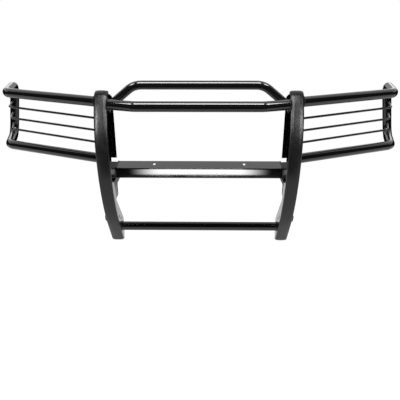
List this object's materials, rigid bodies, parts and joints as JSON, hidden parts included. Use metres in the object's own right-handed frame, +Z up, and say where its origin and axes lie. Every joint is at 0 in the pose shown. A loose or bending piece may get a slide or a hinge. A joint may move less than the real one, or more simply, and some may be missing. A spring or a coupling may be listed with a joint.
{
  "type": "front grille guard",
  "caption": "Welded tube grille guard with curved rubber-faced uprights, wrap-around headlamp wings, lamp cross plate and bolt-on frame brackets.",
  "frame": {"origin": "middle of the width and of the depth, at the lowest point of the uprights", "axes": "+Z up; the guard's front faces -Y and the truck is on the +Y side; X runs across the truck, with the left-hand nodes at -X"},
  "size_m": [2.036, 0.5402, 0.837],
  "materials": {
    "gloss_coat": "glossy black powder coat on steel",
    "face_rubber": "matte dark grey moulded rubber with a fine grain",
    "bracket_coat": "satin black powder coat on steel plate",
    "black_fastener": "black oxide steel",
    "zinc_plate": "zinc-plated steel"
  },
  "bodies": {
    "root": {"left_rub_strip": "face_rubber", "right_rub_strip": "face_rubber", "left_front_band": "gloss_coat", "right_front_band": "gloss_coat", "left_inner_web": "gloss_coat", "right_inner_web": "gloss_coat", "left_outer_web": "gloss_coat", "right_outer_web": "gloss_coat", "upper_hoop": "gloss_coat", "lower_hoop": "gloss_coat", "cross_plate": "gloss_coat", "lower_crossbar": "gloss_coat", "left_wing_hoop": "gloss_coat", "left_wing_bar_1": "gloss_coat", "left_wing_bar_2": "gloss_coat", "left_wing_bar_3": "gloss_coat", "right_wing_hoop": "gloss_coat", "right_wing_bar_1": "gloss_coat", "right_wing_bar_2": "gloss_coat", "right_wing_bar_3": "gloss_coat", "left_bracket": "bracket_coat", "left_carriage_bolts": "black_fastener", "left_washers": "zinc_plate", "left_nuts": "black_fastener", "right_bracket": "bracket_coat", "right_carriage_bolts": "black_fastener", "right_washers": "zinc_plate", "right_nuts": "black_fastener"}
  },
  "joints": []
}
